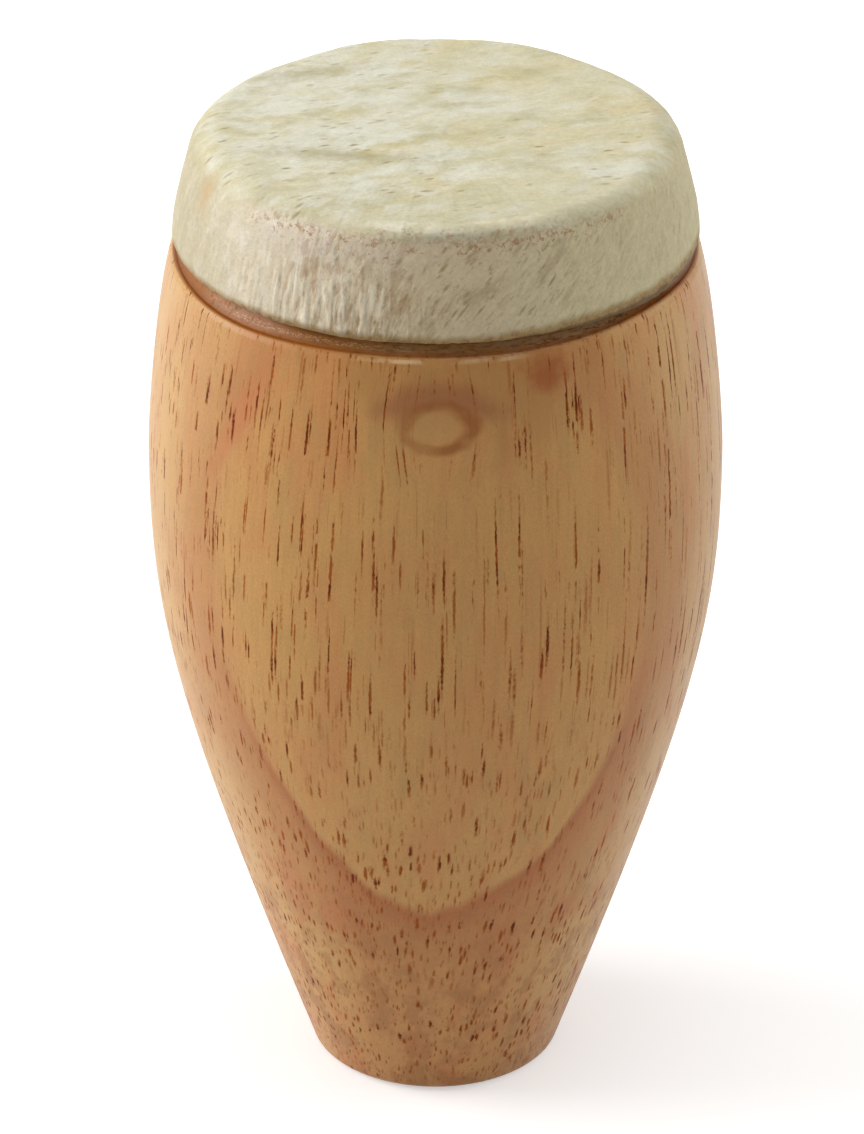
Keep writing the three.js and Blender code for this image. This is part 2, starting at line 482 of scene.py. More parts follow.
def shape_hem(angle, profile):
    """Tucks a half section's hem in, makes its cut edge ragged, and lowers it where it reaches lower."""
    around = Vector((cos(angle), sin(angle), 0))
    ragged = noise.noise(6 * around) + 0.5 * noise.noise(40 * (around + Vector((0, 0, 1))))
    drop = bumps(from_front(around.x, around.y), HEM_DROPS)
    for place in profile:
        share = (HEM_HEIGHT + HEM_TUCK_HEIGHT - place.y) / HEM_TUCK_HEIGHT
        if share > 0:
            place.x -= HEM_TUCK * share**2
            place.y += HEM_RAGGEDNESS * share**2 * ragged
        place.y -= drop * max(0, 1 - (place.y - HEM_HEIGHT) / HEM_BLEND)


def crest_zone(place_mm):
    """Where the skirt is wrinkled: most in front on the left, and low down."""
    height = place_mm.z - HEM_HEIGHT_MM
    fade = min(1, max(0, (WRINKLED_HEIGHT_MM - height) / WRINKLE_FADE_MM))
    return fade * bump(from_front(place_mm.x, place_mm.y), WRINKLED_ANGLE, WRINKLED_HALF_WIDTH)


def skin_crests(place_mm):
    """Fine upright wrinkles of the skirt: 1 on their crests."""
    height = place_mm.z - HEM_HEIGHT_MM
    turned = place_mm.xy.normalized() * LIP_RADIUS / MM
    crest = 0
    for number, (width, length, foot, top) in enumerate(WRINKLE_SETS):
        ridge = noise.noise(Vector((*(turned / width), height / length + number * WRINKLE_SET_SHIFT)))
        crest = max(crest, top - abs(ridge) / foot)
    few = FEW_WRINKLES_SHARE * bump(from_front(place_mm.x, place_mm.y), 0, FEW_WRINKLES_HALF_WIDTH)
    mask = few + (1 - FEW_WRINKLES_SHARE) * crest_zone(place_mm)
    patchy = 0.75 + 2 * noise.noise(Vector((*(turned / 1.2), height / 3 + 4)))
    return mask * min(1, max(0, patchy)) * crest


def skin_lumps(place_mm):
    """Broad unevenness of the rawhide, in millimetres."""
    return sum(height * noise.noise(place_mm / width + Vector(shift)) for height, width, shift in LUMPS_MM)


def raise_skin(head, outer):
    """Raises the head's outer vertices by the skin's lumps and wrinkles, and notes where the crests are."""
    vertices = head.data.vertices
    normals = [vertex.normal.copy() for vertex in vertices]
    normals[-1] = Vector((0, 0, 1))
    zones = [crest_zone(vertex.co / MM) for vertex in vertices]
    crests = [0] * len(vertices)
    for index in outer:
        place_mm = vertices[index].co / MM
        crests[index] = skin_crests(place_mm)
        rise = skin_lumps(place_mm) * MM + WRINKLE_HEIGHT * crests[index]
        vertices[index].co += rise * normals[index]
    note(head, "crest", crests)
    note(head, "crest_zone", zones)
    head.data.update()


def make_head():
    """Rawhide head: a crown that isn't quite flat, an uneven edge, and wrinkles above its hem."""
    angles = [2 * pi * step / HEAD_ROUND_STEPS for step in range(HEAD_ROUND_STEPS)]
    front_angles = [from_front(cos(angle), sin(angle)) for angle in angles]
    outside = [head_profile(angle, 0) for angle in front_angles]
    inside = [head_profile(angle, SKIN_THICKNESS) for angle in front_angles]
    for angle, profile in zip(angles, outside):
        shape_hem(angle, profile)
    inner_rows = rows_of(inside, angles)[::-1]
    head = grid_mesh("rawhide_skin", inner_rows + rows_of(outside, angles))
    first = sum(len(row) for row in inner_rows) + HEAD_ROUND_STEPS
    inner_pole, outer_pole = len(head.data.vertices) - 2, len(head.data.vertices) - 1
    raise_skin(head, [*range(first, inner_pole), outer_pole])
    return head


def make_pellet(number):
    """One steel pellet, round but for the slight unevenness of shot."""
    low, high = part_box(f"pellet_{number:02d}")
    centre = (low + high) / 2
    rows = []
    for row in range(1, PELLET_HEIGHT_STEPS):
        angle = pi * row / PELLET_HEIGHT_STEPS - pi / 2
        rows.append(ring_of(PELLET_RADIUS * cos(angle), PELLET_RADIUS * sin(angle), PELLET_ROUND_STEPS))
    pellet = grid_mesh(f"shot_{number:02d}", rows)
    poles = pellet.data.vertices[-2:]
    poles[0].co.z = -PELLET_RADIUS
    poles[1].co.z = PELLET_RADIUS
    for vertex in pellet.data.vertices:
        inward = PELLET_UNEVENNESS * abs(noise.noise(vertex.co / PELLET_RADIUS + Vector((number, 0, 0))))
        vertex.co = centre + vertex.co * (1 - inward / PELLET_RADIUS)
    return pellet


def linear(channel):
    """Linear value of one channel of a web colour, both from 0 to 1."""
    return ((channel + 0.055) / 1.055) ** 2.4 if channel > 0.04045 else channel / 12.92


def colour(code):
    """Linear colour of a web colour code."""
    channels = [int(code[i : i + 2], 16) / 255 for i in (1, 3, 5)]
    return (*map(linear, channels), 1)


class Shading:
    """The nodes of a material or of the world, made one call at a time."""

    def __init__(self, owner):
        owner.use_nodes = True
        self.owner = owner
        self.nodes = owner.node_tree.nodes
        self.links = owner.node_tree.links

    def feed(self, socket, value):
        """Gives a socket a field, or a number or colour of its own."""
        if isinstance(value, Field):
            self.links.new(value.socket, socket)
        else:
            socket.default_value = value

    def node(self, kind, inputs, **settings):
        """A new node of a kind, with its inputs fed and its settings made."""
        node = self.nodes.new("ShaderNode" + kind)
        for name, value in settings.items():
            setattr(node, name, value)
        for key, value in inputs.items():
            self.feed(node.inputs[key], value)
        return node

    def add(self, kind, inputs, output=0, **settings):
        """One output of a new node, as a field."""
        return Field(self, self.node(kind, inputs, **settings).outputs[output])

    def vector(self, x, y, z):
        """A place from its three parts."""
        return self.add("CombineXYZ", {0: x, 1: y, 2: z})

    def place(self):
        """Place on the object in millimetres, which moves with the object."""
        return self.add("TexCoord", {}, "Object").scaled(1 / MM)

    def noted(self, name):
        """The number that the mesh keeps for each vertex under a name."""
        return self.add("Attribute", {}, "Fac", attribute_name=name)

    def finish(self, shader, inputs):
        """Feeds the shader, and gives back the material or world."""
        for name, value in inputs.items():
            self.feed(self.nodes[shader].inputs[name], value)
        return self.owner


class Field:
    """A number, a place or a colour that changes over a surface. Sums with it make new fields."""

    def __init__(self, shading, socket):
        self.shading = shading
        self.socket = socket

    def maths(self, operation, first, second):
        """The same operation on numbers, or on places and colours where this field is one."""
        kind = "Math" if self.socket.type == "VALUE" else "VectorMath"
        return self.shading.add(kind, {0: first, 1: second}, operation=operation)

    def __add__(self, other):
        return self.maths("ADD", self, other)

    def __sub__(self, other):
        return self.maths("SUBTRACT", self, other)

    def __rsub__(self, other):
        return self.maths("SUBTRACT", other, self)

    def __mul__(self, other):
        return self.maths("MULTIPLY", self, other)

    def __truediv__(self, other):
        return self.maths("DIVIDE", self, other)

    def __rtruediv__(self, other):
        return self.maths("DIVIDE", other, self)

    __rmul__ = __mul__

    def larger(self, other):
        return self.maths("MAXIMUM", self, other)

    def scaled(self, factor):
        """A place or a colour times a number."""
        return self.shading.add("VectorMath", {"Vector": self, "Scale": factor}, operation="SCALE")

    def length(self):
        return self.shading.add("VectorMath", {0: self}, "Value", operation="LENGTH")

    def dot(self, other):
        return self.shading.add("VectorMath", {0: self, 1: other}, "Value", operation="DOT_PRODUCT")

    def turned(self, angle):
        """The place turned about the object's axis."""
        return self.shading.add("VectorRotate", {"Vector": self, "Angle": angle}, rotation_type="Z_AXIS")

    def split(self):
        """The three parts of a place."""
        node = self.shading.node("SeparateXYZ", {0: self})
        return [Field(self.shading, output) for output in node.outputs]

    def noise(self, scale, detail=2, roughness=0.5, shift=(0, 0, 0), output="Fac"):
        """Random pattern from 0 to 1 over a place, with one scale or a scale for each direction."""
        place = self
        if isinstance(scale, tuple):
            place = self.shading.add("VectorMath", {0: self, 1: scale, 2: shift}, operation="MULTIPLY_ADD")
            scale = 1
        inputs = {"Vector": place, "Scale": scale, "Detail": detail, "Roughness": roughness}
        return self.shading.add("TexNoise", inputs, output)

    def cell(self):
        """(way from the centre of the nearest random cell, three random numbers of that cell)."""
        voronoi = self.shading.node("TexVoronoi", {"Vector": self, "Scale": 1})
        centre = Field(self.shading, voronoi.outputs["Position"])
        return self - centre, Field(self.shading, voronoi.outputs["Color"]).split()

    def ramp(self, low, high, start=0, end=1):
        """Smooth change from start to end as the value goes from low to high."""
        inputs = {0: self, 1: low, 2: high, 3: start, 4: end}
        return self.shading.add("MapRange", inputs, interpolation_type="SMOOTHSTEP")

    def mix(self, first, second):
        """Colour that goes from the first to the second as this share goes from 0 to 1."""
        return self.shading.add("Mix", {0: self, 6: first, 7: second}, 2, data_type="RGBA")

    def raised(self, depth):
        """Surface normal of a height from 0 to 1 that stands for a depth."""
        return self.shading.add("Bump", {"Height": self, "Distance": depth, "Strength": 1})


def polynomial(value, factors):
    """Sum of the factors times rising powers of a value."""
    total = factors[-1]
    for factor in reversed(factors[:-1]):
        total = value * total + factor
    return total


def ring_depth(wood, place):
    """How far a point lies inside the ring that draws the front oval, in millimetres, towards the pith."""
    x, y, z = place.split()
    height = (z - PITH_MID_HEIGHT_MM) / PITH_HEIGHT_UNIT_MM
    across = x - polynomial(height, PITH_X_MM)
    behind = y - polynomial(height, PITH_Y_MM)
    waver = place.noise((0.12, 0.12, 0.03)) - 0.5
    return FRONT_RING_RADIUS_MM - wood.vector(across, behind, 0).length() + RING_WAVER_MM * waver


def ring_darkness(depth, height):
    """Growth rings: each is dark at its outer edge, fades towards the pith and blurs higher up."""
    blur = height.ramp(*RING_BLUR_HEIGHTS_MM)
    darkness = 0
    for number, (edge, strength) in enumerate(zip(RING_DEPTHS_MM, RING_STRENGTHS)):
        softness = 0.3 + 0.9 * min(number, 1)
        low = blur * RING_BLUR_MM[0] + (edge - softness / 2)
        high = blur * RING_BLUR_MM[1] + (edge + softness)
        fading = depth.ramp(edge, edge + RING_BAND_MM, 0.8 * strength, 0)
        line = depth.ramp(edge, edge + RING_LINE_MM, 0.35 * strength, 0)
        ring = depth.ramp(low, high) * (fading + line)
        darkness = ring.larger(darkness)
    return darkness * height.ramp(*RING_FADE_HEIGHTS_MM, 1, 0.7)


def grain_place(wood, place):
    """Place with the grain made straight: it leans, partly follows the sides and parts at the knot."""
    x, y, z = place.split()
    below = z.ramp(BELLY_HEIGHT_MM, 0, 0, GRAIN_FOLLOW_BELOW_SHARE)
    above = z.ramp(BELLY_HEIGHT_MM, HEIGHT_MM, 0, GRAIN_FOLLOW_ABOVE_SHARE)
    level = wood.vector(x, y, 0).scaled(1 / (1 - (below + above)))
    righting = (z - GRAIN_LEAN_HEIGHT_MM).larger(0) * x.ramp(*GRAIN_RIGHTING_MM, 0, GRAIN_LEAN)
    beside_knot = x - KNOT_X_MM
    from_knot = wood.vector(beside_knot, z - KNOT_HEIGHT_MM, 0).length()
    parting = from_knot.ramp(0, KNOT_REACH_MM, -GRAIN_PARTING, 0) * y.ramp(0, -10)
    lean = beside_knot * parting + (righting - GRAIN_LEAN * z)
    return level + wood.vector(lean, 0, z)


def vessels(wood, grain, half_width, cells):
    """Long cut vessels: 1 in them and 0 beside them. Each fills part of a cell of the wood."""
    pitch, spacing, present_share, shift = cells
    drift = grain.noise((0.25, 0.25, 0.03), output="Color")
    moved = drift * (1.2, 1.2, 0) + grain
    away, chances = (moved / (pitch, pitch, spacing) + (shift, shift, shift)).cell()
    width = chances[0].ramp(0, 1, 0.65 / pitch, 1.15 / pitch) * half_width
    reach = chances[1].ramp(0, 1, 0.15, 0.55)
    across = (away * (1, 1, 0)).length() / width
    along = away.split()[2] / reach
    ragged = grain.noise((3.2, 3.2, 1.7), 3, 0.7).ramp(0.25, 0.75, -0.35, 0.35)
    distance = wood.vector(across, along, 0).length() + ragged
    present = chances[2].ramp(1 - present_share, 1.1 - 0.5 * present_share)
    return distance.ramp(0.35, 1.25, 1, 0) * present


def breaks(grain, height):
    """Where a long vessel is open: high on the barrel its cut shows as a chain of strokes."""
    more_below = height.ramp(66, 44, 0, 0.3)
    more_at_lip = height.ramp(72, 84, 0, 0.05)
    return (grain.noise((1.3, 1.3, 0.38)) + more_below + more_at_lip).ramp(0.41, 0.48)


def all_vessels(wood, grain, height, knot_distance):
    """Coarse vessels, more of them high up, and fine ones between them. The knot has few."""
    open_share = breaks(grain, height)
    width = height.ramp(*VESSEL_WIDENING_HEIGHTS_MM, *COARSE_HALF_WIDTHS_MM)
    fine_width = height.ramp(*VESSEL_WIDENING_HEIGHTS_MM, *FINE_HALF_WIDTHS_MM)
    upper = vessels(wood, grain, width, UPPER_VESSELS) * height.ramp(38, 54)
    coarse = vessels(wood, grain, width, COARSE_VESSELS).larger(upper)
    fine = vessels(wood, grain, fine_width, FINE_VESSELS) * height.ramp(50, 20, 0.5, 0.7)
    return (coarse * open_share).larger(fine * open_share) * knot_distance.ramp(1.15, 1.6, 0.2, 1)


def knot_distance_of(wood, place):
    """Distance from the small eye on the shoulder, in shares of its size."""
    x, y, z = place.split()
    across = (x - KNOT_X_MM) / KNOT_HALF_WIDTH_MM
    above = (z - KNOT_HEIGHT_MM) / KNOT_HALF_HEIGHT_MM
    waver = place.noise(0.4, 1) - 0.5
    front_only = y.ramp(-18, -12, 0, 9)
    return wood.vector(across, above, 0).length() + 0.5 * waver + front_only


def red_streak(wood, place):
    """Soft reddish streak that slants down the left shoulder: 1 in it and 0 beside it."""
    start, end = (Vector(end_mm) for end_mm in RED_STREAK_MM)
    direction = (end - start).normalized()
    moved = place - (start + end) / 2
    along = moved.dot(direction)
    beside = (moved - wood.vector(*direction).scaled(along)).length()
    half_length = (end - start).length / 2
    distance = wood.vector(along / half_length, beside / RED_STREAK_HALF_WIDTH_MM, 0).length()
    return (distance + place.noise(0.5, 3)).ramp(0.7, 1.8, 1, 0)


WOOD_LIGHT = colour("#d2a363")
WOOD_YELLOW = colour("#cd9957")
WOOD_RING = colour("#b36c35")
WOOD_PINK = colour("#cb824a")
WOOD_OLIVE = colour("#b89052")
WOOD_BROWN = colour("#a56f38")
WOOD_VESSEL = colour("#a04e12")
WOOD_VESSEL_DARK = colour("#622608")
WOOD_KNOT = colour("#96520e")
WOOD_CAP = colour("#9a5a32")
WOOD_STAIN = colour("#9c4a0a")
WOOD_RED = colour("#cb7a48")
# Painted highlight on the lip's edge
LIP_HIGHLIGHT = colour("#edcb9c")
GROOVE_ORANGE = colour("#a9640e")
GROOVE_BROWN = colour("#b8803f")
GROOVE_GREY = colour("#bf9872")
# Dark brown for dirt in the groove, and for the painted shadow under the hem
GROOVE_DIRT_AND_SHADE = colour("#5c3a1c")
GROOVE_RIM = colour("#99541e")
# Bright glints on the glue: a painted highlight
GROOVE_GLINT = colour("#ead2ae")


def wood_tones(wood, place, grain, patches):
    """Broad tones of the wood: yellow and pink zones, dull patches, growth rings and a mottled foot."""
    x, _, z = place.split()
    depth = ring_depth(wood, place)
    base = depth.ramp(-0.3, 0.3).mix(WOOD_YELLOW, WOOD_LIGHT)
    pink = patches.ramp(0.47, 0.68) * z.ramp(45, 20, 0.3, 0.75)
    base = pink.mix(base, WOOD_PINK)
    broad = grain.noise((0.13, 0.13, 0.04), 3, shift=(2, 7, 5)).ramp(0.48, 0.66, 0, 0.45)
    base = (broad * x.ramp(-26, -21)).mix(base, WOOD_PINK)
    base = z.ramp(16, 5, 0, 0.3).mix(base, WOOD_PINK)
    dull = grain.noise((0.3, 0.3, 0.15), 4, shift=(9, 4, 2)).ramp(0.5, 0.7, 0, 0.4)
    base = dull.mix(base, WOOD_OLIVE)
    base = ring_darkness(depth, z).mix(base, WOOD_RING)
    mottled = place.noise((0.35, 0.35, 0.25), 3, 0.6, shift=(4, 8, 1))
    brown = z.ramp(32, 14, 0, 0.5) * mottled.ramp(0.48, 0.62)
    base = brown.mix(base, WOOD_BROWN)
    golden = z.ramp(26, 12, 0, 0.6) * mottled.ramp(0.47, 0.36)
    return golden.mix(base, WOOD_YELLOW)


def shoulder_marks(wood, place, patches, knot_distance, base):
    """Marks on the shoulder: a brown zone, the eye with its cap and its ring, a streak and a stain."""
    from_shoulder = ((place - SHOULDER_PLACE_MM) / SHOULDER_REACH_MM).length()
    brown = from_shoulder + patches.ramp(0.3, 0.7, -0.25, 0.25)
    base = brown.ramp(0.2, 1.1, 0.55, 0).mix(base, WOOD_BROWN)
    middle = knot_distance.ramp(0.55, 0.85, 1, 0)
    base = (0.22 * middle).mix(base, WOOD_LIGHT)
    above_knot = (place.split()[2] - KNOT_HEIGHT_MM) / KNOT_HALF_HEIGHT_MM
    cap = knot_distance.ramp(0.8, 1.05) * knot_distance.ramp(1.4, 2.3, 1, 0) * above_knot.ramp(0, 0.9)
    base = (0.65 * cap).mix(base, WOOD_CAP)
    ring = knot_distance.ramp(0.66, 0.88) * knot_distance.ramp(0.98, 1.3, 1, 0)
    ring = ring * place.noise(0.5, 3).ramp(0.35, 0.65, 0.55, 1)
    base = (0.8 * ring).mix(base, WOOD_KNOT)
    base = (0.65 * red_streak(wood, place)).mix(base, WOOD_RED)
    from_stain = (place - STAIN_PLACE_MM).length() + 3 * place.noise(0.7, 3)
    return from_stain.ramp(*STAIN_FADE_MM, 0.8, 0).mix(base, WOOD_STAIN)


def groove_colour(wood, place, base):
    """The slope above the lip: orange at the sides, brown in front, with dirt, glue specks with painted
    glints, painted shade under the hem and a darker rim.
    """
    x, y, _ = place.split()
    above = wood.noted("even_height") - LIP_HEIGHT / MM
    round_place = wood.vector(0.5 * x, 0.5 * y, 2.5 * above)
    groove = x.ramp(-13, -3).mix(GROOVE_ORANGE, GROOVE_BROWN)
    groove = x.ramp(17, 21).mix(groove, GROOVE_ORANGE)
    greyed = x.ramp(-10, 8, 0, 0.6) * x.ramp(19, 14) * round_place.noise(1, 4, 0.7).ramp(0.4, 0.6)
    groove = greyed.mix(groove, GROOVE_GREY)
    dirt = round_place.noise((2, 2, 1.8), 4, 0.75).ramp(0.52, 0.38)
    dirt = dirt * x.ramp(-18, -4, 0.25, 0.5) * x.ramp(3, 14, 1, 1.7)
    groove = dirt.mix(groove, GROOVE_DIRT_AND_SHADE)
    # Glue specks on the left of the groove, painted as bright glints: a painted highlight on the glue
    glue_glints = above.ramp(0.2, 0.32) * above.ramp(0.65, 0.5) * x.ramp(-23, -18) * x.ramp(3, -3)
    glue_glints = glue_glints * round_place.noise(6, 4, 0.8).ramp(0.52, 0.6)
    groove = (0.7 * glue_glints).mix(groove, GROOVE_GLINT)
    # Painted shadow: darker just under the hem, where it overhangs the groove
    hem_shadow = (above + 0.5 * place.noise(0.9, 3, 0.7)).ramp(0.92, 1.25, 0, 0.7)
    groove = hem_shadow.mix(groove, GROOVE_DIRT_AND_SHADE)
    line = above.ramp(-0.15, -0.02) * above.ramp(0.25, 0.1, 0, 0.6)
    groove = line.mix(groove, GROOVE_RIM)
    # Painted highlight along the rounded edge of the lip, broken up by noise, at the front
    edge = above.ramp(-0.65, -0.42) * above.ramp(-0.12, -0.3) * place.noise(0.3, 3).ramp(0.44, 0.6)
    edge = edge * x.ramp(-11, -5) * x.ramp(10, 5, 0, 0.65)
    base = edge.mix(base, LIP_HIGHLIGHT)
    return above.ramp(-0.3, 0.02).mix(base, groove)


def make_wood(name, lacquered):
    """Light hardwood with wide growth rings and long open vessels."""
    wood = Shading(bpy.data.materials.new(name))
    place = wood.place()
    height = place.split()[2]
    grain = grain_place(wood, place)
    patches = grain.noise((0.24, 0.24, 0.1), 4)
    streaks = grain.noise((1.4, 1.4, 0.1), 3, 0.6)
    flecks = grain.noise((6, 6, 4), 3, 0.75)
    knot_distance = knot_distance_of(wood, place)
    base = wood_tones(wood, place, grain, patches)
    base = base.scaled(streaks.ramp(0.25, 0.75, 0.96, 1.05) + flecks.ramp(0.2, 0.8, -0.12, 0.12))
    base = shoulder_marks(wood, place, patches, knot_distance, base)

    pores = all_vessels(wood, grain, height, knot_distance)
    base = (0.9 * pores).mix(base, WOOD_VESSEL)
    dark = (grain.noise((0.9, 0.9, 0.5)) + height.ramp(70, 85, 0, 0.06)).ramp(0.46, 0.64)
    base = (dark * pores.ramp(0.45, 1, 0, 0.9)).mix(base, WOOD_VESSEL_DARK)

    gloss = 1 - 0.8 * pores
    surface = {
        "Base Color": groove_colour(wood, place, base) if lacquered else base,
        "Normal": (1 - pores).raised(VESSEL_DEPTH),
        "Roughness": streaks.ramp(0.3, 0.7, 0.42, 0.5),
        "Specular IOR Level": 0.25 * gloss,
    }
    if lacquered:
        surface.update({"Coat Weight": 0.15 * gloss, "Coat Roughness": 0.25})
    return wood.finish("Principled BSDF", surface)


RAWHIDE_CREAM = colour("#d9d1ae")
RAWHIDE_PALE = colour("#e4e2d0")
RAWHIDE_WHITE = colour("#e9e6d6")
RAWHIDE_OLIVE = colour("#bdb589")
RAWHIDE_YELLOW = colour("#d8cca2")
RAWHIDE_HAIR = colour("#8a7238")
# Painted highlight along the crown's front edge
RAWHIDE_RIDGE_HIGHLIGHT = colour("#fdf5dc")
RAWHIDE_STAIN = colour("#cda670")
RAWHIDE_PINK = colour("#a86f4c")
RAWHIDE_BROWN = colour("#98774e")
# Painted shade of shallow creases on the crown
RAWHIDE_CREASE_SHADE = colour("#a89b68")
SKIRT_EDGE = colour("#c3b795")
SKIRT_PALE = colour("#e4d7bb")
SKIRT_TAN = colour("#dac8a4")
SKIRT_OLIVE = colour("#d6caa0")
# Painted highlight on the crests of the skirt's wrinkles
SKIRT_CREST_HIGHLIGHT = colour("#f5ead0")
SKIRT_ROSY = colour("#dfcdbd")
SKIRT_WHITE = colour("#efe6d4")
# Tan for streaks of the skirt, and for painted shade between its wrinkles
SKIRT_STREAK_AND_SHADE = colour("#a87f50")
HEM_TAN = colour("#a8884f")
HEM_BROWN = colour("#86602f")
HEM_DARK = colour("#4f3416")


def dashes(place, sizes_mm, present_share):
    """Short marks along the third direction of a place: 1 in them and 0 beside them."""
    pitch, spacing, half_width, half_length = sizes_mm
    away, chances = (place / (pitch, pitch, spacing)).cell()
    distance = (away * (pitch / half_width, pitch / half_width, spacing / half_length)).length()
    return distance.ramp(0.3, 1.2, 1, 0) * chances[0].ramp(1 - present_share, 1)


def with_crease_shades(place, hair, base):
    """The crown's colour with painted shade along a few shallow creases."""
    ragged = hair.noise(0.9, 4, 0.7) - 0.5
    for middle_x, middle_y, length, turn, strength in CREASE_SHADES_MM:
        crease = (place - (middle_x, middle_y, HEIGHT_MM)).turned(-turn)
        distance = (crease / (length / 2, CREASE_SHADE_HALF_WIDTH_MM, CREASE_SHADE_DEPTH_MM)).length() + 2 * ragged
        base = distance.ramp(-0.2, 2, strength, 0).mix(base, RAWHIDE_CREASE_SHADE)
    return base


def crown_colour(rawhide, place):
    """(colour, hair strokes) of the crown: soft bands and strokes that all run one way."""
    x, y, _ = place.split()
    drift = place.noise(0.2, output="Color") - (0.5, 0.5, 0.5)
    hair = (drift * (1.5, 1.5, 0) + place).turned(-HAIR_LEAN)
    left = x.ramp(10, -12, 0, 0.1)
    warm = hair.noise((0.08, 0.16, 0.16), 3)
    base = warm.ramp(0.4, 0.65).mix(RAWHIDE_CREAM, RAWHIDE_YELLOW)
    pale = hair.noise((0.16, 0.28, 0.28), 3, 0.55, shift=(31, 17, 5))
    pale = pale + left * x.ramp(-25, -16) - y.ramp(-9, -17, 0, 0.09)
    base = pale.ramp(0.4, 0.72, 0, 0.85).mix(base, RAWHIDE_PALE)
    olive = hair.noise((0.16, 0.32, 0.32), 3, 0.6, shift=(3.3, 8.1, 0)).ramp(0.44, 0.82)
    base = (olive * x.ramp(-6, 4, 0.6, 0.9)).mix(base, RAWHIDE_OLIVE)
    mottled = hair.noise((0.42, 0.6, 0.6), 3)
    base = (mottled.ramp(0.48, 0.64) * x.ramp(8, -8, 0.12, 0.5)).mix(base, RAWHIDE_WHITE)
    base = (mottled.ramp(0.46, 0.34) * x.ramp(8, -8, 0.08, 0.28)).mix(base, RAWHIDE_OLIVE)
    streaks = hair.noise((0.8, 1.5, 1.5), 3, 0.6)
    base = base.scaled(streaks.ramp(0.3, 0.7, 0.96, 1.04) * y.ramp(-12, -19, 1, 0.94))
    along, beside, _ = hair.split()
    strokes = dashes(rawhide.vector(beside, HEIGHT_MM, along), CROWN_HAIR_MM, 0.9)
    uneven = (place.noise(0.3, 3) + left - 0.07).ramp(0.38, 0.58, 0.1, 1)
    return with_crease_shades(place, hair, base), strokes * uneven * y.ramp(-6, 12, 1, 0.5)


def twisted_place(place):
    """Place on the skirt with its marks made upright: they lean one way in front, another on the right."""
    x, _, z = place.split()
    lean = x.ramp(-9, 5, -0.004, -0.036) + x.ramp(14, 22, 0, 0.026)
    return place.turned((z - SKIRT_MIDDLE_MM) * lean)


def skirt_tones(place, twisted, front):
    """Tones of the skirt: pale on the left, tan in front and olive on the right, stained and streaked."""
    x = place.split()[0]
    base = x.ramp(-25, -17).mix(SKIRT_EDGE, SKIRT_PALE)
    base = x.ramp(-17, 0).mix(base, SKIRT_TAN)
    base = x.ramp(2, 18).mix(base, SKIRT_OLIVE)
    stains = twisted.noise((0.5, 0.5, 0.3), 4, 0.65).ramp(0.5, 0.68, 0, 0.42)
    base = (stains * front).mix(base, RAWHIDE_BROWN)
    spots = twisted.noise((1.7, 1.7, 1), 3, 0.75).ramp(0.56, 0.68, 0, 0.5)
    base = (spots * front).mix(base, RAWHIDE_BROWN)
    cloudy = twisted.noise((0.7, 0.7, 0.35), 3, 0.6).ramp(0.46, 0.62)
    cloudy = cloudy * x.ramp(-3, -12, 0, 0.5) * x.ramp(-25, -18, 0.3, 1)
    base = cloudy.mix(base, SKIRT_WHITE)
    tan_streaks = twisted.noise((1.1, 1.1, 0.3), 3, 0.6, shift=(4, 2, 7)).ramp(0.5, 0.6, 0, 0.5)
    base = (tan_streaks * x.ramp(-16, -12) * x.ramp(0, -6)).mix(base, SKIRT_STREAK_AND_SHADE)
    streaks = twisted.noise((1.1, 1.1, 0.9), 4, 0.7)
    return base.scaled(streaks.ramp(0.3, 0.7, 0.94, 1.06))


def skirt_top_marks(place, base):
    """Marks under the crown's edge: a rosy zone, a soft edge on the left and small brown marks in front."""
    x, y, z = place.split()
    below_crown = HEIGHT_MM - z
    rosy = x.ramp(-20, -14) * x.ramp(2, -6) * below_crown.ramp(6, 2, 0, 0.45)
    base = (rosy * place.noise(0.5, 3).ramp(0.35, 0.6, 0.3, 1)).mix(base, SKIRT_ROSY)
    soft_edge = below_crown.ramp(4.5, 1, 0, 0.3) * x.ramp(-16, -20)
    base = soft_edge.mix(base, RAWHIDE_OLIVE)
    blush = (place.noise(1.5, 4, 0.75) + below_crown.ramp(4, 1, -0.13, 0.04)).ramp(0.53, 0.61)
    return (0.7 * blush * y.ramp(-13, -19)).mix(base, RAWHIDE_PINK)


def wrinkle_light_and_shade(rawhide, twisted, base):
    """Painted highlights on the crests and painted shade in the valleys where the skirt is wrinkled, with
    light and dark streaks along the pleats.
    """
    pleat_streaks = twisted.noise((2.3, 2.3, 0.3))
    zone = rawhide.noted("crest_zone")
    crest = rawhide.noted("crest")
    base = (pleat_streaks.ramp(0.46, 0.36, 0, 0.5) * zone).mix(base, SKIRT_STREAK_AND_SHADE)
    base = (pleat_streaks.ramp(0.54, 0.62, 0, 0.6) * zone).mix(base, SKIRT_CREST_HIGHLIGHT)
    base = (crest.ramp(0, 0.5, 0.14, 0) * zone).mix(base, SKIRT_STREAK_AND_SHADE)
    return crest.ramp(0.15, 0.9, 0, 0.85).mix(base, SKIRT_CREST_HIGHLIGHT)


def skirt_colour(rawhide, place):
    """(colour, hair strokes) of the skirt."""
    x = place.split()[0]
    twisted = twisted_place(place)
    front = x.ramp(20, 8, 0.35, 1) * x.ramp(-16, -6, 0.12, 1)
    base = skirt_tones(place, twisted, front)
    base = skirt_top_marks(place, base)
    base = wrinkle_light_and_shade(rawhide, twisted, base)
    strokes = dashes(twisted, SKIRT_HAIR_MM, 1)
    return base, strokes * place.noise(0.4, 3).ramp(0.38, 0.56) * front


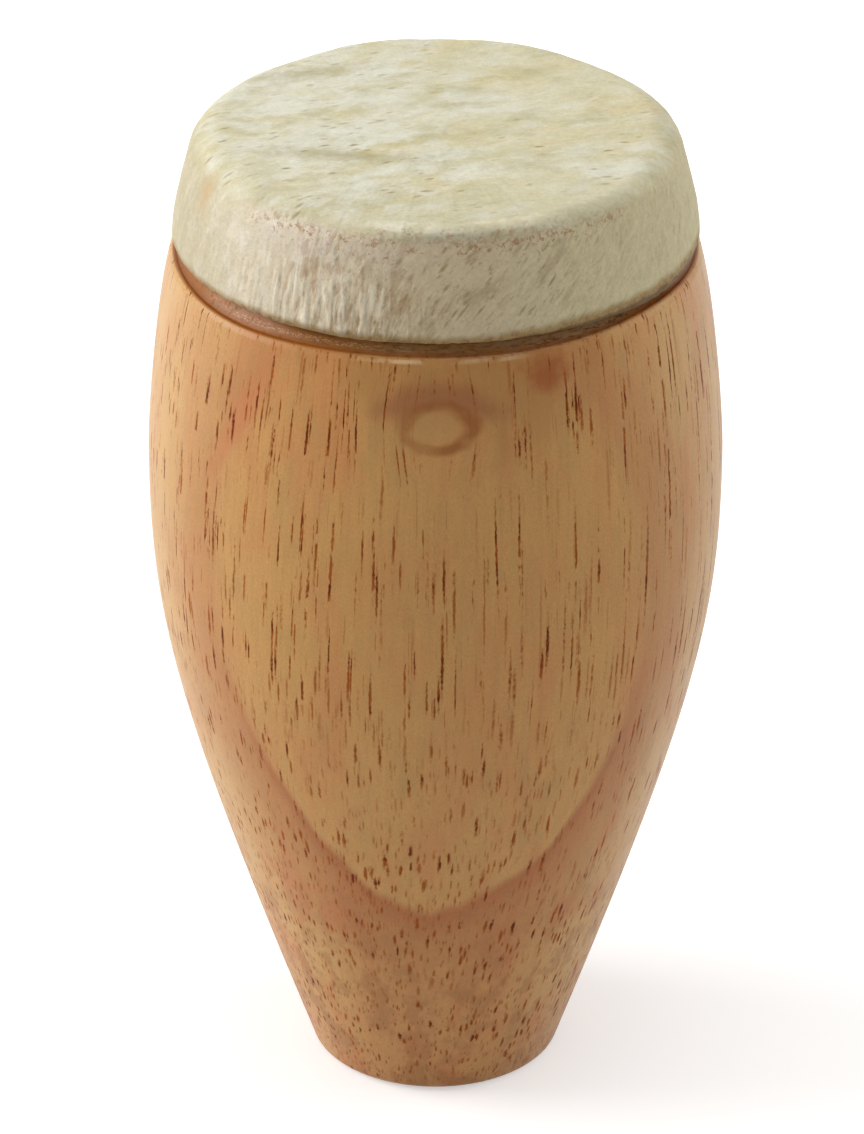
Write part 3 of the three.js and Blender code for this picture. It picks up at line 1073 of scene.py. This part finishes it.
def highlit_rim_and_scuffs(rawhide, place, base):
    """The crown's edge in front: a painted highlight along it, and brown scuffs just outside it."""
    x, y, z = place.split()
    ragged = 1.2 * place.noise(0.9, 5, 0.8) - 0.6
    beyond = rawhide.vector(x, y, 0).length() + ragged - CROWN_RIM_RADIUS_MM
    in_front = y.ramp(-18.5, -21.3) * x.ramp(-8, -4, 0.25, 1)
    # Painted highlight: a pale line on the crown's front edge, where it turns down
    rim_highlight = beyond.ramp(-0.5, 0.2) * z.ramp(HEIGHT_MM - 0.55, HEIGHT_MM - 0.3)
    rim_highlight = rim_highlight * place.noise(0.6, 3).ramp(0.4, 0.6, 0.1, 0.5)
    base = (rim_highlight * in_front).mix(base, RAWHIDE_RIDGE_HIGHLIGHT)
    scuffed = beyond.ramp(0.5, 0.9) * z.ramp(HEIGHT_MM - 1.5, HEIGHT_MM - 0.6)
    scuffed = scuffed * place.noise(1.3, 4, 0.75).ramp(0.5, 0.64, 0, 0.5)
    return (scuffed * in_front).mix(base, RAWHIDE_PINK)


def stained_hem(place, base):
    """The hem: tan and brown towards its lower edge, partly stain and partly painted shade under its tuck,
    and darkest along its cut on the right.
    """
    x, _, z = place.split()
    above = z - HEM_HEIGHT_MM - x.ramp(4, 15, 0, 0.4) - 0.9 * place.noise(0.7, 4, 0.6)
    hem = place.noise(1.2, 3, 0.8).ramp(0.42, 0.62).mix(HEM_TAN, HEM_BROWN)
    base = above.ramp(0.7, -0.25, 0, 0.9).mix(base, hem)
    cut = above.ramp(-0.25, -0.7, 0, 0.75) * x.ramp(-4, 8, 0.2, 1)
    return cut.mix(base, HEM_DARK)


def make_rawhide():
    """Cream rawhide with hair marks, a painted highlight along its front edge, and a stained hem with some
    painted shade.
    """
    rawhide = Shading(bpy.data.materials.new("rawhide"))
    place = rawhide.place()
    skirt = place.split()[2].ramp(HEIGHT_MM - 0.4, HEIGHT_MM - 1.8)
    crown_base, crown_strokes = crown_colour(rawhide, place)
    skirt_base, skirt_strokes = skirt_colour(rawhide, place)
    strokes = crown_strokes * (1 - skirt) + skirt_strokes * skirt
    base = (0.8 * strokes).mix(skirt.mix(crown_base, skirt_base), RAWHIDE_HAIR)
    speckle = place.noise(2.8, 4, 0.8)
    base = base.scaled(speckle.ramp(0.25, 0.75, 0.9, 1.08))
    stain = ((place - HEAD_STAIN_PLACE_MM) / HEAD_STAIN_REACH_MM).length() + 1.6 * place.noise(0.8, 4, 0.7)
    base = stain.ramp(0.8, 2.2, 0.5, 0).mix(base, RAWHIDE_STAIN)
    base = highlit_rim_and_scuffs(rawhide, place, base)
    surface = {
        "Base Color": stained_hem(place, base),
        "Normal": (speckle - 0.35 * strokes).raised(RAWHIDE_RELIEF),
        "Roughness": speckle.ramp(0.2, 0.8, 0.55, 0.7),
        "Specular IOR Level": 0.35,
    }
    return rawhide.finish("Principled BSDF", surface)


STEEL_DARK = colour("#8f9093")
STEEL_LIGHT = colour("#b2b3b5")


def make_steel():
    """Dull steel shot."""
    steel = Shading(bpy.data.materials.new("shot_steel"))
    scuffs = steel.place().noise(1.4, 4, 0.6)
    surface = {
        "Base Color": scuffs.mix(STEEL_DARK, STEEL_LIGHT),
        "Roughness": scuffs.ramp(0.3, 0.7, 0.22, 0.4),
        "Normal": scuffs.raised(STEEL_RELIEF),
        "Metallic": 1,
    }
    return steel.finish("Principled BSDF", surface)


def make_camera():
    """Camera at the photograph's angle, with a long lens."""
    camera_data = bpy.data.cameras.new("camera")
    camera_data.lens = CAMERA_LENS_MM
    camera_data.sensor_width = SENSOR_MM
    camera_data.clip_start = CAMERA_DISTANCE / 10
    camera_data.clip_end = FLOOR_SIZE
    camera = bpy.data.objects.new("camera", camera_data)
    direction = Vector((0, -cos(CAMERA_ELEVATION), sin(CAMERA_ELEVATION)))
    camera.location = ORBIT_CENTRE + CAMERA_DISTANCE * direction
    camera.rotation_euler = (AIM - camera.location).to_track_quat("-Z", "Y").to_euler()
    bpy.context.scene.collection.objects.link(camera)
    bpy.context.scene.camera = camera


def background_share(shading):
    """1 for rays that see the background itself, in gloss and through glass as well."""
    path = shading.node("LightPath", {})
    names = ("Is Camera Ray", "Is Glossy Ray", "Is Transmission Ray")
    camera, glossy, transmission = (Field(shading, path.outputs[name]) for name in names)
    return camera.larger(glossy).larger(transmission)


def make_floor():
    """Plain pale floor that looks white and keeps the object's shadow."""
    half = FLOOR_SIZE / 2
    corners = [(-half, -half, 0), (half, -half, 0), (half, half, 0), (-half, half, 0)]
    mesh = bpy.data.meshes.new("floor")
    mesh.from_pydata(corners, [], [(0, 1, 2, 3)])
    floor = bpy.data.objects.new("floor", mesh)
    floor.location.z = -FLOOR_DROP
    bpy.context.scene.collection.objects.link(floor)
    white = Shading(bpy.data.materials.new("floor_white"))
    glow = white.place().length().ramp(*FLOOR_SHADOW_MM, FLOOR_GLOW, 1)
    surface = {
        "Base Color": FLOOR_GREY,
        "Roughness": 1,
        "Specular IOR Level": 0,
        "Emission Color": WHITE,
        "Emission Strength": background_share(white) * glow,
    }
    mesh.materials.append(white.finish("Principled BSDF", surface))


def make_world():
    """White background, and soft light from all sides at a low level."""
    studio = Shading(bpy.data.worlds.new("studio"))
    level = background_share(studio).ramp(0, 1, WORLD_LEVEL, 1)
    bpy.context.scene.world = studio.finish("Background", {"Color": WHITE, "Strength": level})


def softbox(name, azimuth, elevation, size, level):
    """Square lamp that lights a facing surface to a level: at 1 a colour looks as it is written."""
    data = bpy.data.lights.new(name, "AREA")
    data.shape = "SQUARE"
    data.size = size
    data.energy = pi**2 * STUDIO_DISTANCE**2 * level
    lamp = bpy.data.objects.new(name, data)
    direction = Vector((sin(azimuth) * cos(elevation), -cos(azimuth) * cos(elevation), sin(elevation)))
    lamp.location = ORBIT_CENTRE + STUDIO_DISTANCE * direction
    lamp.rotation_euler = (-direction).to_track_quat("-Z", "Y").to_euler()
    bpy.context.scene.collection.objects.link(lamp)


def dress(piece, body, node, slot, *materials):
    """The piece takes a node's place, its body and its finish."""
    for material in materials:
        piece.data.materials.append(material)
    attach(piece, body)
    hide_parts(node)


bpy.context.scene.view_settings.view_transform = "Standard"
make_camera()
make_floor()
make_world()
for name, settings in LAMPS.items():
    softbox(name, *settings)

shell = make_shell()
woods = [make_wood("lacquered_wood", True), make_wood("bare_wood", False)]
dress(shell, "body", "shell", "turned_wood", *woods)

head = make_head()
dress(head, "body", "rawhide_head", "rawhide", make_rawhide())

steel = make_steel()
for number in range(1, PELLET_COUNT + 1):
    pellet = make_pellet(number)
    dress(pellet, f"pellet_{number:02d}", f"pellet_{number:02d}", "steel_shot", steel)
